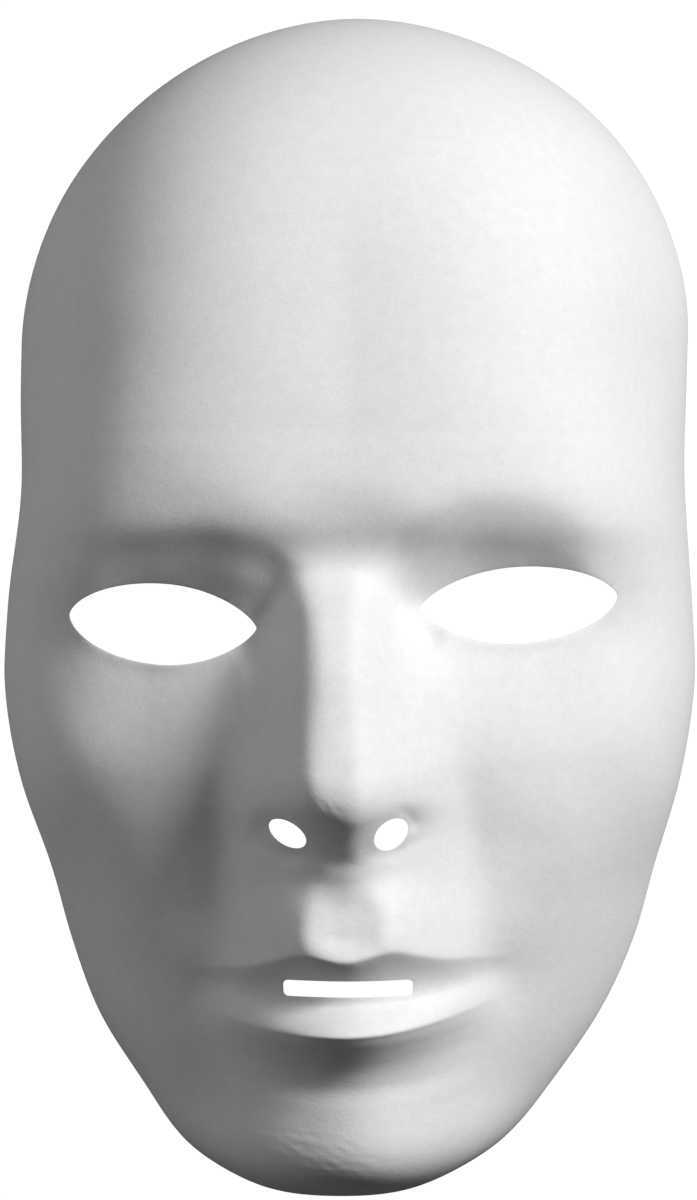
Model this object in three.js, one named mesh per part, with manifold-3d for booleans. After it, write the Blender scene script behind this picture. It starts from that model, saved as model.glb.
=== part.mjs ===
// A plain full-face mask: one thin moulded shell with a flat rim, two eye holes, two nostrils
// and a mouth slot. Millimetres, lying on its rim: x to the right, y to the crown, z out.
import * as THREE from 'three';
import Module from 'manifold-3d';

// overall sizes
const LENGTH = 240;          // crown to chin along the rim
const HALF = LENGTH / 2;
const WALL = 1.6;            // thickness of the shell
const CROWN_HALF_WIDTH = 67.8;
const CHEEK_HALF_WIDTH = 70.3;
const CROWN_FROM_Y = 54;     // the crown's round starts here
const CHEEK_Y = -12;         // widest place
const FOREHEAD_Y = 34;       // the forehead's round starts here
const FOREHEAD_HEIGHT = 68;
const CHIN_ROUND = 17;       // how far the chin's edge turns down
const CREST_ROUND = 4;       // softness of the dome over its middle line
const FACE_RISE = 0.04;      // features climb to the right, mm per mm
const FACE_TURN = 0.03;      // and the face's middle line leans to the left going up
const TURN_Y = -42;

// holes
const EYE_LEFT = { x: -34.9, y: -1.6, half: 18.85, up: 7.45, down: 8.55, tilt: -4.1 };
const EYE_RIGHT = { x: 35.7, y: -0.6, half: 19.6, up: 6.95, down: 8.2, tilt: 3.6 };
const NOSTRIL_LEFT = { x: -10.7, y: -43.7, long: 4.1, short: 2.4, turn: -29 };
const NOSTRIL_RIGHT = { x: 9.5, y: -44.6, long: 3.7, short: 2.65, turn: 44 };
const SLOT = { x: 0.9, y: -74.8, half: 12.75, rise: 1.65, corner: 1, tilt: 0.2 };

// number of facets
const OUTER = { rows: 66, columns: 40 };
const INNER = { rows: 46, columns: 30 };

const { abs, sqrt, exp, min, max, sin, cos, PI } = Math;
const clamp = (t, a = 0, b = 1) => min(max(t, a), b);
const smooth = (t) => { const c = clamp(t); return c * c * (3 - 2 * c); };
const bell = (v, middle, spread) => exp(-(((v - middle) / spread) ** 2));
const pair = (x, middle, spread) => bell(x, middle, spread) + bell(x, -middle, spread);
const side = (x) => sqrt(x * x + 2);                      // distance from the middle line, soft at 0
const ramp = (t, r) => 0.5 * (t + sqrt(t * t + r * r));   // max(t, 0) with a rounded corner
const zone = (v, a0, a1, b1, b0) => smooth((v - a0) / (a1 - a0)) * smooth((b0 - v) / (b0 - b1));

// smooth curve through [place, value] stations
function curve(stations) {
  const x = stations.map((s) => s[0]);
  const y = stations.map((s) => s[1]);
  const last = x.length - 1;
  const step = (i) => x[i + 1] - x[i];
  const rise = (i) => (y[i + 1] - y[i]) / step(i);
  const slope = x.map((_, i) => {
    if (i === 0) return rise(0);
    if (i === last) return rise(last - 1);
    return (rise(i - 1) * step(i) + rise(i) * step(i - 1)) / (step(i) + step(i - 1));
  });
  return (v) => {
    const p = clamp(v, x[0], x[last]);
    let i = 0;
    while (i < last - 1 && p > x[i + 1]) i += 1;
    const h = step(i);
    const t = (p - x[i]) / h;
    const s = t * t;
    const c = s * t;
    return (2 * c - 3 * s + 1) * y[i] + (c - 2 * s + t) * h * slope[i]
      + (3 * s - 2 * c) * y[i + 1] + (c - s) * h * slope[i + 1];
  };
}

// plan outline at the rim: round crown, full cheeks, jaw narrowing to the chin
const outlineTrim = curve([[-120, 0], [-114, 0.8], [-97, -0.7], [-82, 0], [-68, -0.4],
  [-53, -1.2], [-35, 0], [-18, 0.4], [0, -0.1], [24, -1], [44, 0.2], [75, 0.4], [100, 0.5],
  [120, 0]]);

function halfWidth(y) {
  const up = (y - CROWN_FROM_Y) / (HALF - CROWN_FROM_Y);
  const down = clamp((CHEEK_Y - y) / (HALF + CHEEK_Y));
  let w;
  if (y > CROWN_FROM_Y) w = CROWN_HALF_WIDTH * max(1 - up * up, 0) ** 0.53;
  else if (y < CHEEK_Y) w = CHEEK_HALF_WIDTH * max(1 - down ** 1.5, 0) ** (1 / 2.4);
  else {
    w = CHEEK_HALF_WIDTH
      + (CROWN_HALF_WIDTH - CHEEK_HALF_WIDTH) * smooth((y - CHEEK_Y) / (CROWN_FROM_Y - CHEEK_Y));
  }
  return max(w + outlineTrim(y) * smooth((HALF - abs(y)) / 12), 0);
}

// the outline leans a little: crown to the right, chin to the left
const axisX = curve([[-120, -2.3], [-100, -0.7], [-86, -0.3], [-68, 0.5], [-50, 0.5], [-36, 0.16],
  [-26, 0], [-8, 0], [4, 0.1], [20, 0.6], [38, 0.6], [50, 0.8], [64, 1.3], [85, 1.75], [105, 2.1],
  [120, 1.6]]);

// height of the plain dome along the middle, and how square its cross-sections are
const lowerMiddle = curve([[-120, 37.6], [-110, 37.4], [-100, 40], [-90, 43.3], [-75, 49.7],
  [-60, 55.2], [-45, 56.9], [-30, 59.3], [-10, 62.3], [4, 61.7], [10, 63], [16, 66.2], [23, 68.2],
  [30, 68.3], [34, FOREHEAD_HEIGHT]]);
const fullness = curve([[-120, 2.4], [-80, 1.8], [-45, 1.3], [-10, 2], [10, 3.2], [30, 3.2],
  [45, 2.9], [75, 2.9], [120, 1.9]]);
const flank = curve([[-120, 1.95], [-60, 1.7], [-40, 2.6], [-10, 2.2], [45, 1.55], [75, 1.3],
  [120, 2.2]]);

function middleLine(y) {
  if (y < FOREHEAD_Y) return lowerMiddle(y);
  const u = clamp((y - FOREHEAD_Y) / (HALF - FOREHEAD_Y));
  return FOREHEAD_HEIGHT * sqrt(1 - u ** 2.2);
}

function dome(x, y) {
  const w = halfWidth(y);
  if (w <= 0) return 0;
  const off = clamp(abs(x - axisX(y)) / w);
  const k = CREST_ROUND / max(w, 20);
  const r = sqrt(off * off + k * k * (1 - off * off));
  const full = fullness(y);
  return middleLine(y) * max((1 - r ** full) / (1 - k ** full), 0) ** (1 / flank(y));
}

// ridge of muzzle and chin over the dome
const ridgeHeight = curve([[-120, 14.5], [-110, 11.6], [-100, 12.2], [-90, 15.2], [-75, 13.5],
  [-62, 15], [-52, 11], [-45, 9.4], [-36, 6.8], [-25, 1.5], [-15, 0], [-5, 0]]);
const ridgeReach = curve([[-120, 37], [-104, 32], [-90, 31], [-75, 27.5], [-60, 27.5], [-45, 24],
  [-30, 24.5]]);

function falloff(ax, flat, foot, topCorner, footCorner) {
  const at = (d) => {
    const s = (d - flat) / (foot - flat);
    return 1 - ramp(s, topCorner) + ramp(s - 1, footCorner);
  };
  return max(at(ax), 0) / at(0);
}

function muzzle(x, y) {
  const ax = x - 1;
  const reach = ridgeReach(y);
  const wedge = falloff(side(ax), 6.8, reach, 0.29, 0.2);
  const round = 1 - smooth(abs(ax) / (reach + 4));
  const k = smooth((-76 - y) / 12);
  return ridgeHeight(y) * (wedge * (1 - k) + round * k);
}

// nose: a flat bridge with sloping sides, a rounded tip, wings round the nostrils
const noseLine = curve([[-60, 68], [-53, 70], [-50, 71.6], [-47, 75], [-44, 79],
  [-41.5, 82.6], [-39, 84.4], [-36, 85.1], [-31, 84.6], [-22, 82.2], [-10, 78.6], [0, 70.5],
  [6, 63.2], [11, 61], [18, 58], [30, 56]]);
const noseFlat = curve([[-54, 2.2], [-50, 4], [-44, 3.7], [-36, 4.8], [-28, 5.4], [-10, 5.8],
  [6, 5.8], [16, 8]]);
const noseFoot = curve([[-56, 8], [-51, 11.6], [-48, 11.5], [-45, 17], [-41, 20.7], [-36, 21.3],
  [-28, 22], [-10, 19.8], [-3, 14.6], [4, 11.2], [16, 15]]);
const noseEdge = curve([[-45, 0.2], [-36, 0.13], [0, 0.17]]);
const noseBlend = curve([[-45, 0.22], [-30, 0.2], [-15, 0.2], [-3, 0.12], [6, 0.35]]);

function nose(x, y) {
  const ax = side(x + 0.6);
  const tip = y - ((0.07 * (x - 2) ** 2) / (1 + (x - 2) ** 2 / 60)) * smooth((-27 - y) / 10);
  const over = noseLine(tip) - middleLine(y) - ridgeHeight(y);
  const lift = ramp(over, 1.6) * smooth((26 - y) / 14) * smooth((y + 62) / 6);
  const wing = 3 * exp(-(abs((ax - 12) / 8.2) ** 3) - ((y + 40) / 9.5) ** 2);
  const dent = 1.7 * exp(-(((ax - 14.4) / 3.3) ** 2) - ((y + 43) / 3.1) ** 2);
  const drop = 0.5 * zone(ax, 3, 12, 16, 24) * bell(y, -40.5, 4.5);
  return lift * falloff(ax, noseFlat(y), noseFoot(y), noseEdge(y), noseBlend(y)) + wing - dent - drop;
}

// brows and eye sockets
const browEdge = curve([[0, 8], [8, 9.2], [12, 12], [19, 15.2], [26, 17.8], [36, 17.4],
  [46, 14.3], [54, 8.4], [62, 2], [72, -6]]);

function sockets(x, y) {
  const ax = side(x);
  const below = browEdge(ax) + 0.75 + (2.2 * x) / sqrt(x * x + 600) - y;
  const drop = 0.55 * (ramp(below, 0.6 + 0.07 * ax) - ramp(below - 17, 4)) * smooth((y + 33) / 36);
  const foot = 10 + 16 * smooth((22 - ax) / 9);
  const deep = 0.35 * (ramp(below - 8, 2) - ramp(below - 18, 3)) * smooth((y + foot - 1) / foot)
    * zone(ax, 8, 17, 45, 55);
  return -(drop + deep) * smooth((66 - ax) / 29) * smooth((ax - 2.5) / 11);
}

const foldLine = curve([[-90, 32], [-70, 24.8], [-50, 23.6], [-25, 23]]);

function cheeks(x, y) {
  const ax = side(x);
  return 1.7 * bell(ax, 56.5, 9.5) * bell(y, -28, 11.5) + 2.7 * bell(ax, 44.5, 10) * bell(y, -54, 19)
    - 1.8 * bell(ax, foldLine(y), 5.6) * zone(y, -78, -60, -42, -22);
}

// lips: a crisp upper edge turning in to the slot, a full lower lip over a hollow
const lipTop = curve([[0, -69.2], [1.2, -69.15], [4, -68.5], [9.8, -67.6], [14, -68.6],
  [19, -69.9], [25, -70.3], [31, -70.7], [36, -71]]);
const lowerLip = curve([[0, -2.5], [0.1, -2.3], [0.3, -0.8], [0.5, 1.2], [0.7, 3], [0.85, 4],
  [0.94, 4.3], [1, 3.7]]);
const underLip = curve([[0, 3.7], [1.4, 2], [3.4, -1], [6.5, -4.5], [10, -5.6], [15, -3.9],
  [21, -2.3], [27, -1.1], [34, -0.5]]);

function lips(x, y) {
  const ax = side(x);
  const top = lipTop(abs(x));
  const line = -77.6 + 5.1 * (x / 32) ** 2;
  const bottom = -84.6 + 6 * (x / 31) ** 2;
  const fade = smooth((33.5 - ax) / 26);
  if (y > top) return 3.7 * exp(-(((y - top) / 4.9) ** 1.4)) * fade;
  if (y > line) return (3.7 - 6.2 * smooth(((top - y) / max(top - line, 0.8)) ** 0.7)) * fade;
  if (y > bottom) return lowerLip(clamp((line - y) / max(line - bottom, 0.8))) * fade;
  return underLip(bottom - y) * fade;
}

const philtrumBank = curve([[-68, 8.2], [-62, 8.7], [-54, 6.8], [-48, 5.7]]);

function philtrum(x, y) {
  const ax = side(x - 0.3);
  const bank = philtrumBank(y);
  return (1.2 * bell(ax, bank, 3.4) - 2.2 * bell(ax, 0, 0.75 * bank)) * zone(y, -70, -64, -60.5, -51);
}

function forehead(x, y) {
  return -1.7 * bell(x, 0, 40) * bell(y, 58, 24) - 0.5 * bell(x, 0, 10) * bell(y, 54, 20)
    - 2.8 * bell(side(x), 60, 9) * bell(y, 48, 20);
}

// soft hollows and swells on both sides: out from the middle line, up, spread out, spread up, height
const SOFT_FORMS = {
  besideEye: [58, -2, 8, 12, -2.5],
  noseSide: [17, -26, 5, 12, -0.9],
  noseRoot: [12, 8, 6, 6, -0.8],
  innerBrow: [14, 18, 8, 6, 0.8],
  browMiddle: [34, 24, 12, 7, -0.7],
  muzzleSide: [20, -58, 7, 8, -1.4],
  mouthCorner: [30, -76, 7, 7, -1.8],
  chinSide: [28, -96, 8, 9, -1.5],
  jaw: [34, -66, 12, 16, 0.5],
};

const softForms = (x, y) => Object.values(SOFT_FORMS).reduce((z, [out, up, wide, high, h]) => z
  + h * pair(x, out, wide) * bell(y, up, high), 0);

// outer face: all the modelling laid over the dome, the chin's edge turned down, 0 off the mask
function height(x, y) {
  const base = dome(x, y);
  if (base <= 0 || abs(y) >= HALF) return 0;
  const u = x + FACE_TURN * (y - TURN_Y);
  const v = y - FACE_RISE * x;
  const relief = nose(u, v) + sockets(u, v) + cheeks(u, v) + muzzle(u, v) + lips(u, v)
    + philtrum(u, v) + softForms(u, v) + forehead(x - 1, y);
  const e = clamp((y + HALF) / CHIN_ROUND);
  return (base + relief * smooth(base / 20)) * sqrt(1 - (1 - e) ** 2.8);
}

// inner face: as high as a ball of the wall's radius can reach under the outer face
function innerHeight(x, y) {
  let z = height(x, y) - WALL;
  for (const share of [0.35, 0.6, 0.8, 0.93, 1]) {
    const d = WALL * share;
    for (let k = 0; k < 12; k += 1) {
      const a = (k + share) * (PI / 6);
      z = min(z, height(x + d * cos(a), y + d * sin(a)) - sqrt(WALL * WALL - d * d));
    }
  }
  return z;
}

// places between -90 and 90 degrees, closer together where the density is high
function spread(count, density) {
  const fine = 720;
  const sum = [0];
  for (let i = 0; i < fine; i += 1) sum.push(sum[i] + density(-PI / 2 + ((i + 0.5) * PI) / fine));
  const places = [];
  for (let k = 0, i = 0; k <= count; k += 1) {
    const goal = (sum[fine] * k) / count;
    while (i < fine - 1 && sum[i + 1] < goal) i += 1;
    places.push(-PI / 2 + ((i + (goal - sum[i]) / (sum[i + 1] - sum[i])) * PI) / fine);
  }
  return places;
}

// one face of the shell: rows from chin to crown, columns from left to right, a point at each end
function sheet({ rows, columns }, inset, heightAt) {
  const half = HALF - inset;
  const rowAngles = spread(rows, (a) => {
    const y = HALF * sin(a);
    return 1 + 1.7 * bell(y, -75, 11) + 1.3 * bell(y, -44, 8) + 0.5 * bell(y, 13, 12);
  });
  const columnAngles = spread(columns, (a) => 1 + 1.1 * bell(a, 0, 0.3));
  const points = [];
  rowAngles.forEach((a, i) => {
    const y = half * sin(a);
    if (i === 0 || i === rows) {
      points.push([[axisX(i === 0 ? -HALF : HALF), i === 0 ? -half : half, 0]]);
      return;
    }
    const yy = (y * HALF) / half;
    const w = (halfWidth(yy) * (CHEEK_HALF_WIDTH - inset)) / CHEEK_HALF_WIDTH;
    points.push(columnAngles.map((b, j) => {
      const x = axisX(yy) + w * sin(b);
      return [x, y, j === 0 || j === columns ? 0 : max(heightAt(x, y), 0)];
    }));
  });
  return points;
}

function shellMesh() {
  const vertices = [];
  const triangles = [];
  const number = (p) => { vertices.push(...p); return vertices.length / 3 - 1; };
  const far = (a, b) => {
    let d = 0;
    for (let k = 0; k < 3; k += 1) d += (vertices[3 * a + k] - vertices[3 * b + k]) ** 2;
    return d;
  };
  const sheets = [[sheet(OUTER, 0, height), false], [sheet(INNER, WALL, innerHeight), true]];
  const faces = sheets.map(([grid, flip]) => {
    const id = grid.map((row) => row.map(number));
    const add = (a, b, c) => triangles.push(...(flip ? [a, c, b] : [a, b, c]));
    for (let i = 0; i < id.length - 1; i += 1) {
      const low = id[i];
      const high = id[i + 1];
      for (let j = 0; j < max(low.length, high.length) - 1; j += 1) {
        if (low.length === 1) add(low[0], high[j + 1], high[j]);
        else if (high.length === 1) add(low[j], low[j + 1], high[0]);
        else if (far(low[j], high[j + 1]) < far(low[j + 1], high[j])) {
          add(low[j], low[j + 1], high[j + 1]);
          add(low[j], high[j + 1], high[j]);
        } else {
          add(low[j], low[j + 1], high[j]);
          add(low[j + 1], high[j + 1], high[j]);
        }
      }
    }
    return id;
  });
  // flat rim between the two outlines, on each side from chin to crown
  for (const right of [false, true]) {
    const [outer, inner] = faces.map((id) => id.map((row) => (right ? row[row.length - 1] : row[0])));
    const add = (a, b, c) => triangles.push(...(right ? [a, c, b] : [a, b, c]));
    let i = 0;
    let j = 0;
    while (i < outer.length - 1 || j < inner.length - 1) {
      const stepOuter = j === inner.length - 1
        || (i < outer.length - 1 && far(outer[i + 1], inner[j]) < far(outer[i], inner[j + 1]));
      if (stepOuter) { add(outer[i], outer[i + 1], inner[j]); i += 1; }
      else { add(outer[i], inner[j + 1], inner[j]); j += 1; }
    }
  }
  return { vertices, triangles };
}

// upright prism on a ring of plan points that a centre sees whole
function prismMesh(ring, low, high) {
  const n = ring.length;
  const cx = ring.reduce((s, p) => s + p[0], 0) / n;
  const cy = ring.reduce((s, p) => s + p[1], 0) / n;
  const vertices = [cx, cy, low, cx, cy, high];
  ring.forEach(([x, y]) => vertices.push(x, y, low, x, y, high));
  const triangles = [];
  for (let i = 0; i < n; i += 1) {
    const a = 2 + 2 * i;
    const b = 2 + 2 * ((i + 1) % n);
    triangles.push(0, b, a, 1, a + 1, b + 1, a, b, b + 1, a, b + 1, a + 1);
  }
  return { vertices, triangles };
}

const turned = (x, y, degrees) => {
  const a = (degrees * PI) / 180;
  return [x * cos(a) - y * sin(a), x * sin(a) + y * cos(a)];
};

// from face places to plan places
function onFace(u, v) {
  let x = u;
  let y = v;
  for (let k = 0; k < 6; k += 1) {
    x = u - FACE_TURN * (y - TURN_Y);
    y = v + FACE_RISE * x;
  }
  return [x, y];
}

function eyeRing({ x, y, half, up, down, tilt }) {
  const [cx, cy] = onFace(x, y);
  const ring = [];
  const n = 30;
  for (let k = 0; k < n; k += 1) {
    const a = (2 * PI * k) / n;
    const outward = x > 0 ? cos(a) : -cos(a);       // 1 at the temple end
    const bulge = abs(sin(a)) ** (outward > 0 ? 1.2 : 1.45);
    const [dx, dy] = turned(half * cos(a), (sin(a) > 0 ? up : -down) * bulge, tilt);
    ring.push([cx + dx, cy + dy]);
  }
  return ring;
}

function nostrilRing({ x, y, long, short, turn }) {
  const [cx, cy] = onFace(x, y);
  return Array.from({ length: 16 }, (_, k) => {
    const a = (2 * PI * k) / 16;
    const [dx, dy] = turned(long * cos(a), short * sin(a), turn);
    return [cx + dx, cy + dy];
  });
}

function slotRing() {
  const ring = [];
  const { half, rise, corner } = SLOT;
  [[1, -1, -90], [1, 1, 0], [-1, 1, 90], [-1, -1, 180]].forEach(([sx, sy, start]) => {
    for (let k = 0; k <= 3; k += 1) {
      const a = ((start + 30 * k) * PI) / 180;
      const [dx, dy] = turned(sx * (half - corner) + corner * cos(a),
        sy * (rise - corner) + corner * sin(a), SLOT.tilt);
      ring.push([SLOT.x + dx, SLOT.y + dy]);
    }
  });
  return ring;
}

const wasm = await Module();
wasm.setup();

function solid({ vertices, triangles }) {
  return new wasm.Manifold(new wasm.Mesh({
    numProp: 3,
    vertProperties: new Float32Array(vertices),
    triVerts: new Uint32Array(triangles),
  }));
}

function geometryOf(manifold) {
  const { vertProperties, triVerts, numProp } = manifold.getMesh();
  const positions = new Float32Array(triVerts.length * 3);
  triVerts.forEach((v, i) => {
    for (let k = 0; k < 3; k += 1) positions[3 * i + k] = vertProperties[v * numProp + k];
  });
  const geometry = new THREE.BufferGeometry();
  geometry.setAttribute('position', new THREE.BufferAttribute(positions, 3));
  geometry.computeVertexNormals();
  return geometry;
}

let shell = solid(shellMesh());
const cutters = [eyeRing(EYE_LEFT), eyeRing(EYE_RIGHT), nostrilRing(NOSTRIL_LEFT), nostrilRing(NOSTRIL_RIGHT),
  slotRing()];
cutters.forEach((ring) => { shell = shell.subtract(solid(prismMesh(ring, 12, 110))); });

const paper = new THREE.MeshStandardMaterial({ color: 0xf4f3f1, roughness: 0.85, metalness: 0 });
const mask = new THREE.Mesh(geometryOf(shell), paper);
mask.name = 'mask_shell';

const part = new THREE.Group();
part.name = 'neutral_mask';
part.add(mask);

export default part;
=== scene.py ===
"""A plain white full-face mask lying on its rim, face up, on a pale studio floor.

One moulded shell of pressed pulp with two eye holes, two nostrils and a parted mouth. The face is
worked out in millimetres from named sizes, as heights over the plane of the rim: +X to the right as
the face is looked at, +Y to the crown, +Z out of the face. The mesh and the studio are in metres.
"""

import logging
import math
from dataclasses import dataclass, field
from enum import Enum
from typing import Callable

import bpy
import numpy as np
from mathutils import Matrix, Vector
from mathutils.geometry import delaunay_2d_cdt

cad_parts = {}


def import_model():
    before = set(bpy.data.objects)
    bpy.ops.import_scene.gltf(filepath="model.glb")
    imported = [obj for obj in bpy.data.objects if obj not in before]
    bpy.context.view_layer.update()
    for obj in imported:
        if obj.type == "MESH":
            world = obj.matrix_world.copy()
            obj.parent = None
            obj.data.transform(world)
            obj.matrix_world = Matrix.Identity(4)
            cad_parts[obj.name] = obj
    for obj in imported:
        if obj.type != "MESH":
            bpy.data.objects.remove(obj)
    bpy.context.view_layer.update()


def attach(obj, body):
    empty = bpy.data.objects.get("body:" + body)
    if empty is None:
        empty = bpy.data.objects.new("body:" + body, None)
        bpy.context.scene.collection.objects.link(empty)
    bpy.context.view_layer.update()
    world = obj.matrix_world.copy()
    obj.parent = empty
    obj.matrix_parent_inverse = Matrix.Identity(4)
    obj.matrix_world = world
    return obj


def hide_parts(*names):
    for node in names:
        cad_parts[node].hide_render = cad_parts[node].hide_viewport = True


LOG = logging.getLogger("neutral_mask")
MM = 0.001

Array = np.ndarray


class Side(Enum):
    """Which side of the face a feature is on, as the face is looked at."""

    LEFT = -1
    RIGHT = 1


class WallFace(Enum):
    """The two faces of the shell's wall, by the index of their finish."""

    OUTER = 0
    INNER = 1


# Small shapes of one variable


def smooth(t: Array) -> Array:
    """A soft step from 0 at t = 0 to 1 at t = 1."""
    c = np.clip(t, 0.0, 1.0)
    return c * c * (3.0 - 2.0 * c)


def bell(v: Array, middle: Array, spread: Array) -> Array:
    """A bell of height 1 round middle."""
    return np.exp(-(((v - middle) / spread) ** 2))


def ramp(t: Array, corner: Array) -> Array:
    """The larger of t and 0, with a rounded corner."""
    return 0.5 * (t + np.sqrt(t * t + corner * corner))


def zone(v: Array, a0: float, a1: float, b1: float, b0: float) -> Array:
    """1 between a1 and b1, fading to 0 at a0 and b0."""
    return smooth((v - a0) / (a1 - a0)) * smooth((b0 - v) / (b0 - b1))


def off_middle(x: Array) -> Array:
    """Distance from the middle line, soft at 0."""
    return np.sqrt(x * x + 2.0)


@dataclass(frozen=True)
class Curve:
    """A smooth curve through (place, value) stations."""

    stations: tuple[tuple[float, float], ...]

    def __call__(self, v: Array) -> Array:
        """The curve's value at v, held at both ends.

        Args:
            v: Places, of any shape.

        Returns:
            Values of the same shape.
        """
        x, y = np.array(self.stations, float).T
        h = np.diff(x)
        rise = np.diff(y) / h
        slope = np.empty_like(y)
        slope[0], slope[-1] = rise[0], rise[-1]
        slope[1:-1] = (rise[:-1] * h[1:] + rise[1:] * h[:-1]) / (h[1:] + h[:-1])
        p = np.clip(v, x[0], x[-1])
        i = np.clip(np.searchsorted(x, p, side="right") - 1, 0, len(h) - 1)
        t = (p - x[i]) / h[i]
        s, c = t * t, t**3
        return (
            (2 * c - 3 * s + 1) * y[i]
            + (c - 2 * s + t) * h[i] * slope[i]
            + (3 * s - 2 * c) * y[i + 1]
            + (c - s) * h[i] * slope[i + 1]
        )


# The shell's plan and its modelling


@dataclass(frozen=True)
class Outline:
    """The outline that the rim follows: round crown, full cheeks, a jaw narrowing to the chin."""

    half_length: float = 120.0
    crown_half_width: float = 67.8
    cheek_half_width: float = 70.3
    crown_from_y: float = 54.0
    crown_bend: float = 0.53
    cheek_y: float = -12.0
    jaw_bend: float = 1.5
    jaw_fullness: float = 2.4
    trim_end: float = 12.0

    TRIM = Curve(((-120, 0), (-114, 0.8), (-97, -0.7), (-82, 0), (-68, -0.4), (-53, -1.2),
                  (-35, 0), (-18, 0.4), (0, -0.1), (24, -1), (44, 0.2), (75, 0.4), (100, 0.5),
                  (120, 0)))
    AXIS = Curve(((-120, -2.3), (-100, -0.7), (-86, -0.3), (-68, 0.5), (-50, 0.5), (-36, 0.16),
                  (-26, 0), (-8, 0), (4, 0.1), (20, 0.6), (38, 0.6), (50, 0.8), (64, 1.3),
                  (85, 1.75), (105, 2.1), (120, 1.6)))

    def half_width(self, y: Array) -> Array:
        """Half the outline's width.

        Args:
            y: Plan y in mm.

        Returns:
            Half widths in mm, 0 beyond both ends.
        """
        up = (y - self.crown_from_y) / (self.half_length - self.crown_from_y)
        down = np.clip((self.cheek_y - y) / (self.half_length + self.cheek_y), 0, 1)
        crown = self.crown_half_width * np.maximum(1 - up * up, 0) ** self.crown_bend
        narrowing = np.maximum(1 - down**self.jaw_bend, 0)
        jaw = self.cheek_half_width * narrowing ** (1 / self.jaw_fullness)
        between = smooth((y - self.cheek_y) / (self.crown_from_y - self.cheek_y))
        temple = self.cheek_half_width + (self.crown_half_width - self.cheek_half_width) * between
        w = np.where(y > self.crown_from_y, crown, np.where(y < self.cheek_y, jaw, temple))
        trim = self.TRIM(y) * smooth((self.half_length - np.abs(y)) / self.trim_end)
        return np.maximum(w + trim, 0)

    def axis(self, y: Array) -> Array:
        """Where the middle of the outline lies: the crown leans right, the chin left."""
        return self.AXIS(y)

    def to_plan(self, disc: Array, inset: float = 0.0) -> Array:
        """Lays points of a round disc on the plan, evenly spread over the domed face.

        Args:
            disc: Points of the unit disc, one a row.
            inset: How far the outline is moved inwards, in mm.

        Returns:
            The plan points in mm.
        """
        rho = np.hypot(disc[:, 0], disc[:, 1])
        grow = np.sin(0.5 * math.pi * np.minimum(rho, 1)) / np.maximum(rho, 1e-9)
        p, q = disc[:, 0] * grow, disc[:, 1] * grow
        yy = np.clip(q, -1, 1) * self.half_length
        width = self.half_width(yy) * (1 - inset / self.cheek_half_width)
        reach = np.sqrt(np.maximum(1 - q * q, 1e-9))
        x = self.axis(yy) + width * p / reach
        return np.column_stack([x, yy * (1 - inset / self.half_length)])

    def to_disc(self, plan: Array, inset: float = 0.0) -> Array:
        """The disc points of plan points: to_plan the other way.

        Args:
            plan: Plan points in mm, one a row.
            inset: How far the outline is moved inwards, in mm.

        Returns:
            The points of the unit disc.
        """
        yy = plan[:, 1] / (1 - inset / self.half_length)
        q = yy / self.half_length
        width = self.half_width(yy) * (1 - inset / self.cheek_half_width)
        p = (plan[:, 0] - self.axis(yy)) * np.sqrt(1 - q * q) / width
        r = np.maximum(np.hypot(p, q), 1e-9)
        shrink = np.arcsin(np.minimum(r, 1)) * 2 / math.pi / r
        return np.column_stack([p * shrink, q * shrink])


@dataclass(frozen=True)
class SoftForm:
    """A soft hollow or swell, the same on both sides of the middle line."""

    name: str
    out: float
    up: float
    wide: float
    high: float
    height: float

    def at(self, x: Array, y: Array) -> Array:
        """Its height over the face, in mm."""
        both = bell(x, self.out, self.wide) + bell(x, -self.out, self.wide)
        return self.height * both * bell(y, self.up, self.high)


@dataclass(frozen=True)
class Lobe:
    """A swell by distance from the middle line, with a flatter top where the edge is above 2."""

    out: float
    up: float
    wide: float
    high: float
    height: float
    edge: float = 2.0

    def at(self, ax: Array, y: Array) -> Array:
        """Its height over the face, in mm, at a distance ax from the middle line."""
        across = np.abs((ax - self.out) / self.wide) ** self.edge
        return self.height * np.exp(-across - ((y - self.up) / self.high) ** 2)


@dataclass(frozen=True)
class Bow:
    """A line across the face that climbs evenly to both sides."""

    middle: float
    climb: float
    half: float

    def __call__(self, x: Array) -> Array:
        """The line's y at x."""
        return self.middle + self.climb * (x / self.half) ** 2


def ridge_section(ax: Array, flat: Array, foot: Array, top: Array, low: Array) -> Array:
    """Cross-section of a ridge: flat top, sloping side, both corners rounded.

    Args:
        ax: Distance from the middle.
        flat: Half the width of the top.
        foot: Distance at which the side ends.
        top: Roundness of the top's corner, as a share of the side.
        low: Roundness of the foot.

    Returns:
        1 on the top, falling to 0.
    """

    def at(d: Array) -> Array:
        """The section before it is scaled to 1 at the middle."""
        s = (d - flat) / (foot - flat)
        return 1 - ramp(s, top) + ramp(s - 1, low)

    return np.maximum(at(ax), 0) / at(np.zeros_like(ax))


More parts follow.
